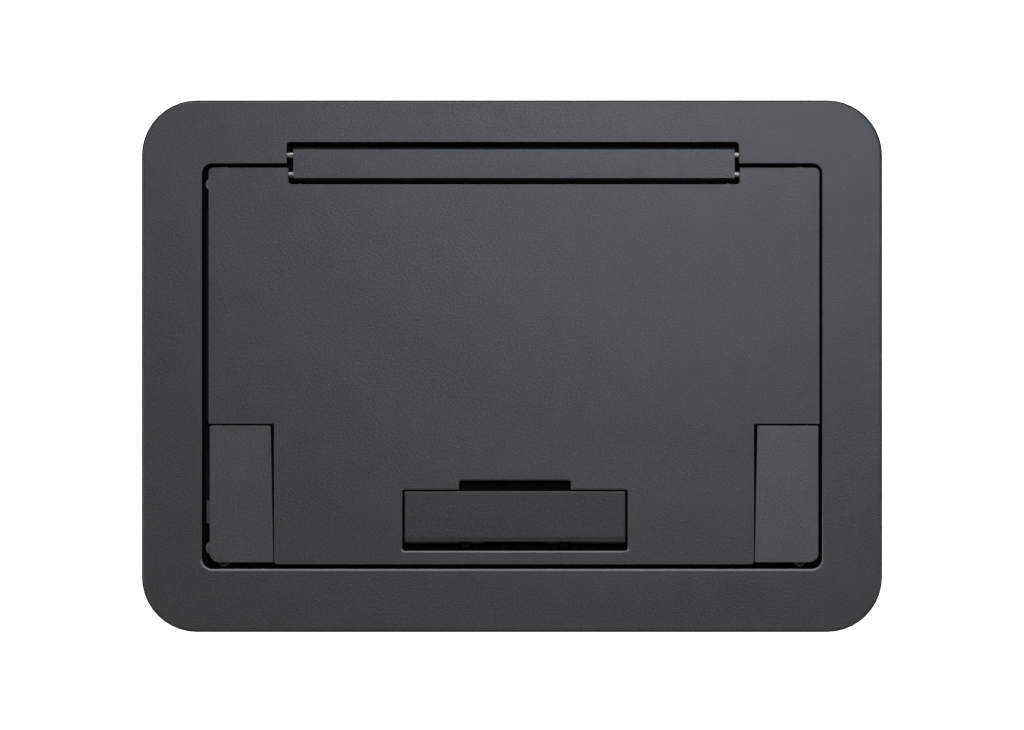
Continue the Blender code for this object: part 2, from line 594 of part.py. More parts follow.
def pull_handle(material):
    """A paddle: a barrel along its front, a rim round its hollow underside, a turned-down rear lip."""
    skin_under = HANDLE_TOP - HANDLE_SKIN
    pivot = (HANDLE_ROD_Y, HANDLE_ROD_Z)
    bore = HANDLE_ROD_RADIUS + BORE_PLAY
    lip = HANDLE_REAR - HANDLE_REAR_RIM
    edge = HANDLE_REAR_EDGE
    profile = arc(pivot, BARREL_RADIUS, 90, 270, 12)
    profile += [(HANDLE_ROD_Y + BARREL_RADIUS, HANDLE_ROD_Z - BARREL_RADIUS)]
    profile += [(HANDLE_ROD_Y + BARREL_RADIUS, skin_under), (lip, skin_under), (lip, HANDLE_RIM_UNDER)]
    profile += [(HANDLE_REAR, HANDLE_RIM_UNDER)]
    profile += arc((HANDLE_REAR - edge, HANDLE_TOP - edge), edge, 0, 90, 4)
    x0, x1 = HANDLE_X - HANDLE_HALF, HANDLE_X + HANDLE_HALF
    window_half, window_rear, window_top = SPRING_WINDOW
    added = [prism_x(profile, x0, x1)]
    cuts = [
        rod_x(*pivot, bore, x0 - OVER, x1 + OVER),
        centred_block(
            HANDLE_X, window_half, HANDLE_ROD_Y - 6 * OVER, HANDLE_ROD_Y + window_rear,
            HANDLE_ROD_Z - 6 * OVER, HANDLE_ROD_Z + window_top,
        ),
    ]
    for side in (-1, 1):
        rim_low = (HANDLE_HALF - HANDLE_SIDE_RIM, HANDLE_ROD_Y, HANDLE_RIM_UNDER)
        rim_high = (HANDLE_HALF, HANDLE_REAR - OVER, skin_under + OVER / 2)
        added.append(side_block(side, rim_low, rim_high, HANDLE_X))
        x = HANDLE_X + side * HOOK_X
        boss_y = (FOOT_FRONT - GAP, FOOT_REAR + GAP)
        notch_y = (HANDLE_ROD_Y - 6 * OVER, HANDLE_ROD_Y + 5 * OVER)
        screw = (x, LATCH_SCREW_Y)
        added.append(centred_block(x, FOOT_BOSS_HALF, *boss_y, FOOT_BOSS_UNDER, skin_under + OVER / 2))
        cuts.append(centred_block(x, HOOK_NOTCH_HALF, *notch_y, RECESS_FLOOR, HOOK_NOTCH_TOP))
        cuts.append(disc(screw, LATCH_SCREW_SHANK + GAP, FOOT_BOSS_UNDER - OVER, LATCH_HOLE_TOP, 14))
    return finish(build(added, cuts), "pull_handle", material, (HANDLE_X, *pivot))


def latch_hooks(steel, zinc):
    """Two steel hooks on the handle's rod: a foot screwed under the handle, a nose under the ledge."""
    foot_top = FOOT_BOSS_UNDER - GAP
    foot_under = foot_top - FOOT_THICK
    nose_top = LEDGE_UNDER - NOSE_ROOM
    nose_under = nose_top - NOSE_UNDER
    pivot = (HANDLE_ROD_Y, HANDLE_ROD_Z)
    shoulder, shoulder_top, shoulder_under = HOOK_SHOULDER
    heel_y, heel_z = HOOK_HEEL
    foot_end = FOOT_REAR - GAP
    profile = arc(pivot, HOOK_EYE, 30, 150, 6)
    profile += [(HOOK_FRONT + shoulder, shoulder_top), (HOOK_FRONT, shoulder_under), (HOOK_FRONT, nose_top)]
    profile += [(NOSE_TIP + NOSE_CHAMFER, nose_top), (NOSE_TIP, nose_top - NOSE_CHAMFER)]
    profile += [(NOSE_TIP + NOSE_SLOPE, nose_under), (HOOK_BACK - heel_y, nose_under)]
    profile += [(HOOK_BACK, nose_under + heel_z), (HOOK_BACK, foot_under), (foot_end, foot_under)]
    profile += [(foot_end, foot_top), (HANDLE_ROD_Y + FOOT_TOP_FRONT, foot_top)]
    for side, side_name in ((-1, "left"), (1, "right")):
        x = HANDLE_X + side * HOOK_X
        screw = (x, LATCH_SCREW_Y)
        arm = prism_x(profile, x - HOOK_THICK / 2, x + HOOK_THICK / 2)
        foot = centred_block(x, FOOT_HALF, FOOT_FRONT, FOOT_REAR, foot_under, foot_top)
        bore = rod_x(*pivot, HANDLE_ROD_RADIUS + BORE_PLAY, x - FOOT_HALF, x + FOOT_HALF)
        hole = disc(screw, LATCH_SCREW_SHANK + GAP, foot_under - OVER, foot_top + OVER, 14)
        finish(build([arm, foot], [bore, hole]), f"latch_hook_{side_name}", steel, (x, *pivot))
        head_top = foot_under - GAP
        head = disc(screw, LATCH_SCREW_HEAD, head_top - LATCH_HEAD_HIGH, head_top, 16)
        shank = disc(screw, LATCH_SCREW_SHANK, head_top - OVER / 2, LATCH_SCREW_TOP, 14)
        slot_y = (LATCH_SCREW_Y - GAP, LATCH_SCREW_Y + GAP)
        drive_top = head_top - LATCH_DRIVE_DEEP
        drive = centred_block(x, LATCH_DRIVE_HALF, *slot_y, head_top - 2 * OVER, drive_top)
        finish(build([head, shank], [drive]), f"latch_screw_{side_name}", zinc)


def handle_spring(material):
    """Double torsion spring: two coils round the rod, joined by a bail that bears on the recess floor."""
    coil_end = SPRING_HALF + SPRING_TURNS * SPRING_PITCH
    steps = SPRING_TURNS * SPRING_STEPS
    bail_z = RECESS_FLOOR + GAP + SPRING_WIRE
    start_y, start_z = BAIL_START
    bend_y, bend_z = BAIL_BEND
    route = [(-coil_end, HANDLE_ROD_Y - SPRING_LEG[0], HANDLE_ROD_Z + SPRING_LEG[1])]
    for i in range(steps + 1):
        angle = math.radians(90 + 360 * i / SPRING_STEPS)
        x = -coil_end + (coil_end - SPRING_HALF) * i / steps
        y = HANDLE_ROD_Y + SPRING_COIL_RADIUS * math.cos(angle)
        z = HANDLE_ROD_Z + SPRING_COIL_RADIUS * math.sin(angle)
        route.append((x, y, z))
    route.append((-SPRING_HALF, HANDLE_ROD_Y - start_y, HANDLE_ROD_Z + start_z))
    route.append((-SPRING_HALF, BAIL_Y + bend_y, bail_z + bend_z))
    route.append((-SPRING_HALF + BAIL_CORNER, BAIL_Y, bail_z))
    route += [(-x, y, z) for x, y, z in reversed(route)]
    curve = bpy.data.curves.new("handle_spring", "CURVE")
    curve.dimensions = "3D"
    curve.bevel_depth = SPRING_WIRE * MM
    curve.bevel_resolution = 0
    curve.use_fill_caps = True
    spline = curve.splines.new("POLY")
    spline.points.add(len(route) - 1)
    for point, (x, y, z) in zip(spline.points, route):
        point.co = ((HANDLE_X + x) * MM, y * MM, z * MM, 1.0)
    curve.materials.append(material)
    spring = bpy.data.objects.new("handle_spring", curve)
    bpy.context.scene.collection.objects.link(spring)
    return spring


def door_outline(side):
    """The door's outline, whose inner edge spreads towards the front."""
    x0, x1 = sorted((LID_X + side * DOOR_INNER, LID_X + side * DOOR_OUTER))
    small = DOOR_SMALL_CORNER
    corners = (DOOR_CORNER, small, small, small) if side < 0 else (small, DOOR_CORNER, small, small)
    middle = (x0 + x1) / 2
    outline = []
    for x, y in rounded_outline((x0, DOOR_FRONT), (x1, DOOR_REAR), corners, 5):
        if side * (x - middle) < 0:
            along = (DOOR_REAR - y) / (DOOR_REAR - DOOR_FRONT)
            x -= side * (DOOR_INNER - DOOR_INNER_FRONT) * along
        outline.append((x, y))
    return outline


def egress_door(side, name, material):
    """A door with rims at its outer and front edges, and knuckles on each side of the bracket's ears."""
    rear = DOOR_REAR + 2 * OVER
    under = RIM_UNDER - OVER
    inner, outer = DOOR_INNER - 2 * OVER, DOOR_OUTER + 2 * OVER
    relief_x, relief_y = DOOR_CORNER_RELIEF
    reliefs = [
        lid_side(side, (inner, DOOR_FRONT + DOOR_RIM, under), (DOOR_OUTER - DOOR_RIM, rear, DOOR_UNDER)),
        lid_side(side, (inner, DOOR_PIN_Y - 6 * OVER, under), (outer, rear, DOOR_UNDER)),
        lid_side(side, (relief_x, DOOR_FRONT - 2 * OVER, under), (outer, relief_y, DOOR_UNDER)),
    ]
    added = [build([prism(door_outline(side), RIM_UNDER, TOP)], reliefs)]
    room = EAR_WIDTH / 2 + GAP
    ear_a, ear_b = EARS_X
    profile = arc((DOOR_PIN_Y, DOOR_PIN_Z), KNUCKLE_RADIUS, 180, 360, 8)
    profile += [(DOOR_PIN_Y + KNUCKLE_RADIUS, DOOR_UNDER + OVER / 2)]
    profile += [(DOOR_PIN_Y - KNUCKLE_RADIUS, DOOR_UNDER + OVER / 2)]
    first = (DOOR_INNER + OVER, ear_a - room)
    last = (ear_b + room, DOOR_OUTER - KNUCKLE_INSET)
    for low, high in (first, (ear_a + room, ear_b - room), last):
        added.append(prism_x(profile, *sorted((LID_X + side * low, LID_X + side * high))))
    if side < 0:
        added.append(lid_side(side, *SNAP_TAB))
    bore_in, bore_out = DOOR_INNER + DOOR_BORE_INSET[0], DOOR_OUTER - DOOR_BORE_INSET[1]
    bore_ends = sorted((LID_X + side * bore_in, LID_X + side * bore_out))
    cuts = [rod_x(DOOR_PIN_Y, DOOR_PIN_Z, DOOR_PIN_RADIUS + BORE_PLAY, *bore_ends, 20)]
    for ear in EARS_X:
        low = (ear - room, DOOR_PIN_Y - EAR_RADIUS - EAR_ROOM, under)
        cuts.append(lid_side(side, low, (ear + room, rear, DOOR_PIN_Z + EAR_RADIUS + EAR_ROOM_ABOVE)))
    pivot = (LID_X + side * (DOOR_INNER + DOOR_OUTER) / 2, DOOR_PIN_Y, DOOR_PIN_Z)
    return finish(build(added, cuts), name, material, pivot)


def egress_bracket(side, name, material):
    """A plate screwed up under the lid, with two ears that carry the door's pin."""
    low = (BRACKET_X[0], BRACKET_FRONT, BRACKET_UNDER)
    added = [lid_side(side, low, (BRACKET_X[1], BRACKET_REAR, BRACKET_TOP))]
    profile = arc((DOOR_PIN_Y, DOOR_PIN_Z), EAR_RADIUS, 0, 180, 10)
    for y in (DOOR_PIN_Y - EAR_RADIUS, DOOR_PIN_Y + EAR_RADIUS):
        profile.append((y, BRACKET_TOP - OVER / 2))
    for ear in EARS_X:
        ends = sorted((LID_X + side * (ear - EAR_WIDTH / 2), LID_X + side * (ear + EAR_WIDTH / 2)))
        added.append(prism_x(profile, *ends))
    bore_ends = sorted((LID_X + side * BRACKET_X[0], LID_X + side * (BRACKET_X[1] + 2 * OVER)))
    cuts = [rod_x(DOOR_PIN_Y, DOOR_PIN_Z, DOOR_PIN_RADIUS + BORE_PLAY, *bore_ends, 20)]
    for x, y in BRACKET_SCREWS:
        cuts.append(disc((LID_X + side * x, y), BRACKET_HOLE, BRACKET_UNDER - OVER, BRACKET_TOP + OVER, 16))
    return finish(build(added, cuts), name, material)


def egress_fasteners(side, side_name, steel, zinc):
    inner, outer = DOOR_INNER + DOOR_PIN_INSET, DOOR_OUTER - DOOR_PIN_INSET
    pin_ends = sorted((LID_X + side * inner, LID_X + side * outer))
    steel_rod(f"egress_pin_{side_name}", DOOR_PIN_Y, DOOR_PIN_Z, DOOR_PIN_RADIUS, *pin_ends, steel)
    head_top = BRACKET_UNDER - GAP
    for (x, y), place in zip(BRACKET_SCREWS, ("inner", "outer")):
        centre = (LID_X + side * x, y)
        head = disc(centre, BRACKET_HEAD, head_top - BRACKET_HEAD_HIGH, head_top, 20)
        shank = disc(centre, BRACKET_SHANK, head_top - OVER / 2, SKIN_UNDER, 16)
        drive_top = head_top - BRACKET_DRIVE_DEEP
        drive = cross_drive(centre, BRACKET_DRIVE_HALF, head_top - 3 * OVER, drive_top)
        finish(build([head, shank], drive), f"bracket_screw_{side_name}_{place}", zinc)


def main():
    clear_scene()
    black = make_material("black_powder", BLACK_POWDER)
    zinc = make_material("zinc", ZINC)
    bright = make_material("bright_steel", BRIGHT_STEEL)
    dark = make_material("black_steel", BLACK_STEEL)
    foam = make_material("foam", FOAM)
    trim_flange(black)
    floor_gasket(foam)
    lid_seals(foam)
    hold_downs(zinc)
    hinge_link(black)
    steel_rod("hinge_rod_frame", FRAME_ROD_Y, ROD_Z, ROD_RADIUS, -ROD_HALF, ROD_HALF, bright)
    steel_rod("hinge_rod_lid", LID_ROD_Y, ROD_Z, ROD_RADIUS, LID_X - ROD_HALF, LID_X + ROD_HALF, bright)
    lid_plate(black)
    pull_handle(black)
    ends = (HANDLE_X - HANDLE_ROD_HALF, HANDLE_X + HANDLE_ROD_HALF)
    steel_rod("handle_rod", HANDLE_ROD_Y, HANDLE_ROD_Z, HANDLE_ROD_RADIUS, *ends, dark)
    latch_hooks(dark, zinc)
    handle_spring(bright)
    for side, side_name in ((-1, "left"), (1, "right")):
        egress_door(side, f"egress_door_{side_name}", black)
        egress_bracket(side, f"egress_bracket_{side_name}", black)
        egress_fasteners(side, side_name, bright, zinc)


main()
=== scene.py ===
import json
import math

import bmesh
import bpy
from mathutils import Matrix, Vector


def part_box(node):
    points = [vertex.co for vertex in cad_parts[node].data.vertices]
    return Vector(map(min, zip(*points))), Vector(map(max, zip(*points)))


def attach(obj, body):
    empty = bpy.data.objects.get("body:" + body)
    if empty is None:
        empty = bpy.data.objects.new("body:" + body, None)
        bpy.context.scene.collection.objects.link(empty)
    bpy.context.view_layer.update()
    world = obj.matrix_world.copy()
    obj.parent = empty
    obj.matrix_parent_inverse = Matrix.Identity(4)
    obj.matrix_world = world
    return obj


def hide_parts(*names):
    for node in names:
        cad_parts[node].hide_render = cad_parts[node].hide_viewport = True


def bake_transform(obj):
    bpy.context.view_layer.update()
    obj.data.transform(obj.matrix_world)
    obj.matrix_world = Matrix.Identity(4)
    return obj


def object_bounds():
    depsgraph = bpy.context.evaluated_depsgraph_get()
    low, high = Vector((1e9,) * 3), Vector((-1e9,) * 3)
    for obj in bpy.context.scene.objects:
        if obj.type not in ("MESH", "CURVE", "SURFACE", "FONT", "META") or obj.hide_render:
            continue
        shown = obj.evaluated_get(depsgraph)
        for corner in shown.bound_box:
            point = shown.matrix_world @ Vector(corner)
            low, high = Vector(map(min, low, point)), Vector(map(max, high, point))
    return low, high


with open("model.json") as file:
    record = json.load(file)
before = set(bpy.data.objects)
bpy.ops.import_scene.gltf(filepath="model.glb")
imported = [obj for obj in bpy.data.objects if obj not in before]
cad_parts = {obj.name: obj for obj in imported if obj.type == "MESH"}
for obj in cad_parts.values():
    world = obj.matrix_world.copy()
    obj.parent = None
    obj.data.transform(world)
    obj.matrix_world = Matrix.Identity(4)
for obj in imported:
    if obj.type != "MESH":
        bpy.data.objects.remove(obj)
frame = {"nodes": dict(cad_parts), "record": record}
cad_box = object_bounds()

# Sizes are in metres unless a name says otherwise.
MM = 0.001

# The camera looks straight down. Its view is VIEW_WIDTH wide at the height of the object's top.
VIEW_WIDTH = 0.49995
VIEW_SHIFT_Y = 0.56 * MM
LENS = 85.0
SENSOR = 36.0
CLIP_START = 0.01

# The sky's strength at the horizon, and where a direction's Z is SKY_DIM_Z or more.
SKY_HORIZON = 1.1
SKY_ZENITH = 0.06
SKY_DIM_Z = 0.75
SKY_COLOUR = (1.0, 0.985, 0.96, 1.0)

# Name, place, size, watts and colour of each light.
LIGHTS = (
    ("key", (0.22, 0.54, 2.0), (0.5, 0.5), 13.2, (0.89, 1.00, 1.12)),
    ("window_rear", (0.1, 1.9, 0.85), (1.6, 0.4), 25.0, (0.97, 0.99, 1.0)),
    ("window_left", (-2.6, 0.2, 1.1), (1.4, 0.5), 20.0, (0.98, 0.99, 1.0)),
    ("fill_front", (0.3, -1.7, 1.1), (2.2, 1.0), 3.0, (1.0, 0.98, 0.96)),
    ("fill_right", (1.7, -0.2, 1.1), (1.0, 2.2), 4.0, (1.0, 0.98, 0.96)),
)

# The floor is near black within these half sizes, a painted shade under the object. The object covers all of
# that.
PAINTED_SHADE_HALF = (153.6 * MM, 101.4 * MM)
FLOOR_HALF = 6.0
FLOOR_DROP = 0.5 * MM
FLOOR_GLOW = 0.9

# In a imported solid, vertices closer than WELD are merged and faces within FLAT_ANGLE are joined up.
WELD = 0.004 * MM
FLAT_ANGLE = math.radians(0.4)

# Edges sharper than SHARP_ANGLE are rounded, and those within TOP_BAND of a piece's top as TOP_EDGES says.
SHARP_ANGLE = math.radians(32.0)
TOP_BAND = 0.1 * MM
TOP_SEGMENTS = 4
EDGE_MM = 0.15
FINE_EDGE_MM = 0.05
FINE_EDGES = ("hinge_link",)
EDGE_SEGMENTS = 3
NORMAL_WEIGHT = 80

# Lines that part the object. Beyond INSIDE_HALF is only the flange's outer part. Farther out than FRONT_LIP
# or RIGHT_LIP are the opening's front and right lips. The highlight painted on the lips gets lighter
# from LIP_REAR forwards.
# RECESS_HALF, RIBS_HALF and COLLAR_HALF are half sizes of the lid's recess, its ribs and the flange's collar.
INSIDE_HALF = (160.0 * MM, 112.0 * MM)
FRONT_LIP = -90.0 * MM
RIGHT_LIP = 140.0 * MM
LIP_REAR = -40.0 * MM
RECESS_HALF, RECESS_REAR = 60.0 * MM, -50.0 * MM
RECESS_LIP = (-92.0 * MM, -88.0 * MM)
RIBS_HALF, RIBS_FRONT, RIBS_TOP = 112.0 * MM, -94.0 * MM, 26.0 * MM
COLLAR_HALF, COLLAR_TOP = (153.5 * MM, 101.2 * MM), 24.0 * MM

# Within INSIDE_HALF, the faces below FLOOR_TOP and the walls below WALL_TOP get the near-black coat that
# paints the shade deep in the gaps.
WALL_TOP = 28.8 * MM
FLOOR_TOP = 27.0 * MM

# A slope is the Z of a face's normal: 1 faces up, 0 is a wall and -1 faces down.
WALL_SLOPE = 0.35
OUTLINE_SLOPE = 0.94
RIM_SLOPE = 0.99
LIP_SLOPE = 0.25
UNDER_SLOPE = -0.5

# The three materials of a powder-coated piece, by number: the coat, a near-black one that paints shade
# and a lighter one that paints the highlight on the lips. The rolled edges of the pieces named next get
# the near-black one, painted shade in place of a highlight.
FULL_COAT, SHADE_COAT, HIGHLIGHT_COAT = 0, 1, 2
SHADED_RIMS = ("hinge_link",)

# The handle's spring is cut in two. COIL_SHARE is a coil's start and end, in shares of the half width.
SPRING = "handle_spring"
COIL_SHARE = (0.66, 0.96)
CUT_REACH = 0.001 * MM

# Scale, detail and roughness of the powder coat's fine grain, and the span most of a noise's values are in.
COAT_GRAIN = (1700.0, 2.0, 0.6)
NOISE_SPAN = (0.3, 0.7)


# ---------------------------------------------------------------- places

def anywhere(place):
    return True


def in_recess(place):
    """The lid's handle recess and finger slot, whose edges are rounder than its outline."""
    return abs(place.x) < RECESS_HALF and place.y < RECESS_REAR


def outside_recess(place):
    return not in_recess(place)


def on_outline(place):
    return abs(place.x) > INSIDE_HALF[0] or abs(place.y) > INSIDE_HALF[1]


def on_front_lip(place):
    """The opening's front edge, up to and including its two corners."""
    return place.y < FRONT_LIP and not on_outline(place)


def on_right_lip(place):
    return place.x > RIGHT_LIP


def is_underneath(place, slope, node):
    """Undersides, the ribs under the lid and the outside of the collar never show in the gaps."""
    x, y, z = place
    among_ribs = node == "lid_plate" and abs(x) < RIBS_HALF and y > RIBS_FRONT and not in_recess(place)
    outside_collar = node == "trim_flange" and (abs(x) > COLLAR_HALF[0] or abs(y) > COLLAR_HALF[1])
    return slope < UNDER_SLOPE or (among_ribs and z < RIBS_TOP) or (outside_collar and z < COLLAR_TOP)


# For a top's edges: each rounding's width in mm, and a test of an edge's middle. They are made in this order.
TOP_EDGES = {
    "trim_flange": ((1.0, on_front_lip), (0.4, on_outline), (0.45, on_right_lip), (0.25, anywhere)),
    "lid_plate": ((0.8, in_recess), (0.2, outside_recess)),
    "pull_handle": ((0.7, anywhere),),
    "egress_door_left": ((0.3, anywhere),),
    "egress_door_right": ((0.3, anywhere),),
}


# ---------------------------------------------------------------- meshes

def new_object(name, bm, material):
    mesh = bpy.data.meshes.new(name)
    bm.to_mesh(mesh)
    bm.free()
    mesh.materials.append(material)
    mesh.shade_smooth()
    piece = bpy.data.objects.new(name, mesh)
    bpy.context.scene.collection.objects.link(piece)
    return piece


def body_of(node):
    for body, nodes in frame["record"]["behaviour"]["bodies"].items():
        if node in nodes:
            return body
    raise ValueError(node)


def slot_of(node):
    for part in frame["record"]["subparts"]:
        if part["node"] == node:
            return part["material_slot"]
    raise ValueError(node)


def stand_for(piece, node):
    """The piece rides where its CAD node rides, and is shown in its place."""
    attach(piece, body_of(node))
    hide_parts(node)


def box_of(node):
    return tuple(Vector(corner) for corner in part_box(node))


def clean_solid(node):
    """The node's solid with its triangles welded and its flat faces joined up."""
    bm = bmesh.new()
    bm.from_mesh(frame["nodes"][node].data)
    bmesh.ops.remove_doubles(bm, verts=bm.verts, dist=WELD)
    bmesh.ops.dissolve_limit(bm, angle_limit=FLAT_ANGLE, verts=bm.verts, edges=bm.edges)
    bmesh.ops.recalc_face_normals(bm, faces=bm.faces)
    return bm


def bevel_edges(bm, edges, width_mm, segments):
    bmesh.ops.bevel(
        bm, geom=edges, offset=width_mm * MM, offset_type="OFFSET", segments=segments, profile=0.5,
        affect="EDGES", clamp_overlap=False, miter_outer="SHARP", loop_slide=True,
    )


def coat_of(face, node):
    """The near-black coat paints shade deep in the gaps, on the flange's outer rim and the link's rolled
    edges.
    """
    place = face.calc_center_median()
    slope = face.normal.z
    if is_underneath(place, slope, node):
        return FULL_COAT
    if on_outline(place):
        return SHADE_COAT if slope < OUTLINE_SLOPE else FULL_COAT
    if node in SHADED_RIMS:
        return SHADE_COAT if slope < RIM_SLOPE else FULL_COAT
    if place.z < FLOOR_TOP or (place.z < WALL_TOP and slope < WALL_SLOPE):
        return SHADE_COAT
    on_opening = node == "trim_flange" and (place.y < FRONT_LIP or on_right_lip(place))
    on_recess = node == "lid_plate" and abs(place.x) < RECESS_HALF and RECESS_LIP[0] < place.y < RECESS_LIP[1]
    # The opening's lips and the recess's front lip get the lighter coat: a painted highlight.
    return HIGHLIGHT_COAT if (on_opening or on_recess) and LIP_SLOPE < slope < RIM_SLOPE else FULL_COAT


def round_edges(bm, node):
    """Round the edges as a casting or a coated part has them, and keep the result inside the node's box."""
    low, high = box_of(node)
    top = high.z - TOP_BAND

    def is_sharp(edge):
        return len(edge.link_faces) == 2 and edge.calc_face_angle(0.0) > SHARP_ANGLE

    def is_top(edge):
        return all(vert.co.z > top for vert in edge.verts)

    def middle(edge):
        return (edge.verts[0].co + edge.verts[1].co) / 2.0

    for width_mm, chosen in TOP_EDGES.get(node, ()):
        picked = [edge for edge in bm.edges if is_sharp(edge) and is_top(edge) and chosen(middle(edge))]
        if picked:
            bevel_edges(bm, picked, width_mm, TOP_SEGMENTS)
    width_mm = FINE_EDGE_MM if node in FINE_EDGES else EDGE_MM
    bevel_edges(bm, [edge for edge in bm.edges if is_sharp(edge)], width_mm, EDGE_SEGMENTS)
    for vert in bm.verts:
        vert.co = (min(max(value, least), most) for value, least, most in zip(vert.co, low, high))


def refine(node, coats):
    """Make the piece in the node's place. With several coats, coat_of says which one each face has."""
    bm = clean_solid(node)
    round_edges(bm, node)
    if len(coats) > 1:
        bm.normal_update()
        for face in bm.faces:
            face.material_index = coat_of(face, node)
    piece = new_object(node + ".fine", bm, coats[0])
    for coat in coats[1:]:
        piece.data.materials.append(coat)
    weighted = piece.modifiers.new("even_normals", "WEIGHTED_NORMAL")
    weighted.keep_sharp = False
    weighted.weight = NORMAL_WEIGHT
    stand_for(piece, node)


def twist_spring(node, material):
    """The handle's double spring, cut into a left and a right half in its place."""
    low, high = box_of(node)
    centre, half = (low + high) / 2.0, (high.x - low.x) / 2.0
    for side, name in ((-1.0, "handle_spring_left.fine"), (1.0, "handle_spring_right.fine")):
        bm = clean_solid(node)
        cut = bmesh.ops.bisect_plane(
            bm, geom=bm.verts[:] + bm.edges[:] + bm.faces[:], dist=CUT_REACH,
            plane_co=centre, plane_no=(side, 0.0, 0.0), clear_inner=True,
        )
        rims = [item for item in cut["geom_cut"] if isinstance(item, bmesh.types.BMEdge)]
        bmesh.ops.contextual_create(bm, geom=rims)
        bmesh.ops.recalc_face_normals(bm, faces=bm.faces)
        piece = new_object(name, bm, material)
        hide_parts(node)
        start, end = (centre + Vector((side * half * share, 0.0, 0.0)) for share in COIL_SHARE)
        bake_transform(piece)
        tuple(start)
        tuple(end)


# ---------------------------------------------------------------- materials

class Graph:
    """Small helper for writing node trees."""

    def __init__(self, name):
        self.material = bpy.data.materials.new(name)
        self.material.use_nodes = True
        self.tree = self.material.node_tree
        self.shader = self.tree.nodes["Principled BSDF"]

    def node(self, kind, **inputs):
        made = self.tree.nodes.new(kind)
        for name, value in inputs.items():
            self.feed(made.inputs[name.replace("_", " ")], value)
        return made

    def feed(self, socket, value):
        """Link the socket to an output, or give it a number or a colour."""
        if isinstance(value, bpy.types.NodeSocket):
            self.tree.links.new(value, socket)
        elif isinstance(value, tuple) and len(socket.default_value) == len(value) + 1:
            socket.default_value = (*value, 1.0)
        else:
            socket.default_value = value

    def place(self):
        return self.node("ShaderNodeTexCoord").outputs["Object"]

    def place_axes(self):
        return self.node("ShaderNodeSeparateXYZ", Vector=self.place()).outputs

    def noise(self, scale, detail, roughness, place=None):
        place = place or self.place()
        made = self.node("ShaderNodeTexNoise", Scale=scale, Detail=detail, Roughness=roughness, Vector=place)
        return made.outputs["Fac"]

    def cells(self, scale):
        return self.node("ShaderNodeTexVoronoi", Scale=scale, Vector=self.place()).outputs["Distance"]

    def ramp(self, factor, first, last):
        """Colours between first and last, each a place on the ramp and a colour."""
        made = self.node("ShaderNodeValToRGB", Fac=factor)
        for element, (place, colour) in zip(made.color_ramp.elements, (first, last)):
            element.position = place
            element.color = (*colour, 1.0)
        return made.outputs["Color"]

    def map_range(self, factor, low, high, to_low, to_high):
        made = self.node(
            "ShaderNodeMapRange", Value=factor, From_Min=low, From_Max=high, To_Min=to_low, To_Max=to_high,
        )
        return made.outputs["Result"]

    def maths(self, operation, first, second):
        made = self.node("ShaderNodeMath")
        made.operation = operation
        self.feed(made.inputs[0], first)
        self.feed(made.inputs[1], second)
        return made.outputs["Value"]

    def mix(self, factor, first, second, blend_type="MIX"):
        made = self.node("ShaderNodeMix")
        made.data_type = "RGBA"
        made.blend_type = blend_type
        self.feed(made.inputs["Factor"], factor)
        self.feed(made.inputs[6], first)
        self.feed(made.inputs[7], second)
        return made.outputs[2]

    def finish(self, colour, roughness, height, strength, distance, **uniform):
        """Wire up the shader: a colour, a roughness, a bump, and values that are the same all over."""
        bump = self.node("ShaderNodeBump", Strength=strength, Distance=distance, Height=height)
        self.feed(self.shader.inputs["Base Color"], colour)
        self.feed(self.shader.inputs["Roughness"], roughness)
        self.feed(self.shader.inputs["Normal"], bump.outputs["Normal"])
        for name, value in uniform.items():
            self.shader.inputs[name.replace("_", " ")].default_value = value
        return self.material


def powder_coat(name, dark, light, dullness=(0.34, 0.42)):
    """Satin powder coat between two tones: fine pebbled grain, soft mottling, a few specks of dust."""
    g = Graph(name)
    grain = g.noise(*COAT_GRAIN)
    pebble = g.noise(800.0, 2.0, 0.5)
    mottle = g.noise(70.0, 3.0, 0.6)
    speck = g.map_range(g.cells(300.0), 0.06, 0.14, 1.0, 0.0)
    chosen = g.map_range(g.noise(170.0, 0.0, 0.5), 0.60, 0.72, 0.0, 0.35)
    dust = g.maths("MULTIPLY", speck, chosen)
    tone = g.maths("ADD", g.maths("MULTIPLY", grain, 0.86), g.maths("MULTIPLY", mottle, 0.14))
    warmth = g.map_range(g.noise(330.0, 2.0, 0.6), 0.35, 0.65, 0.0, 1.0)
    tint = g.mix(warmth, (0.95, 1.0, 1.04), (1.05, 1.0, 0.96))
    tinted = g.mix(1.0, g.ramp(tone, (0.34, dark), (0.66, light)), tint, "MULTIPLY")
    return g.finish(
        g.mix(dust, tinted, (0.16, 0.155, 0.145)),
        g.map_range(grain, *NOISE_SPAN, *dullness),
        g.maths("ADD", g.maths("MULTIPLY", grain, 0.6), g.maths("MULTIPLY", pebble, 0.4)), 1.0, 0.00018,
    )


def painted_lip_highlight():
    """A lighter coat that stands in for the highlight on the lips, lightest at the object's front."""
    g = Graph("painted_highlight_coat")
    grain = g.noise(*COAT_GRAIN)
    strength = g.map_range(g.place_axes()["Y"], LIP_REAR, FRONT_LIP, 0.0, 1.0)
    bright = g.ramp(grain, (0.34, (0.100, 0.101, 0.104)), (0.66, (0.150, 0.152, 0.156)))
    return g.finish(
        g.mix(strength, (0.0320, 0.0315, 0.0305), bright),
        g.map_range(grain, *NOISE_SPAN, 0.34, 0.42),
        grain, 1.0, 0.00012,
    )


def painted_shade_coat():
    """A near-black, matt coat: painted shade in the gaps, on rims and on the handle's rod."""
    g = Graph("painted_shade_coat")
    grain = g.noise(900.0, 3.0, 0.6)
    return g.finish(
        g.ramp(grain, (0.3, (0.0018, 0.0018, 0.0019)), (0.7, (0.0045, 0.0045, 0.0047))),
        g.map_range(grain, *NOISE_SPAN, 0.78, 0.92),
        grain, 0.6, 0.0002, Specular_IOR_Level=0.12,
    )


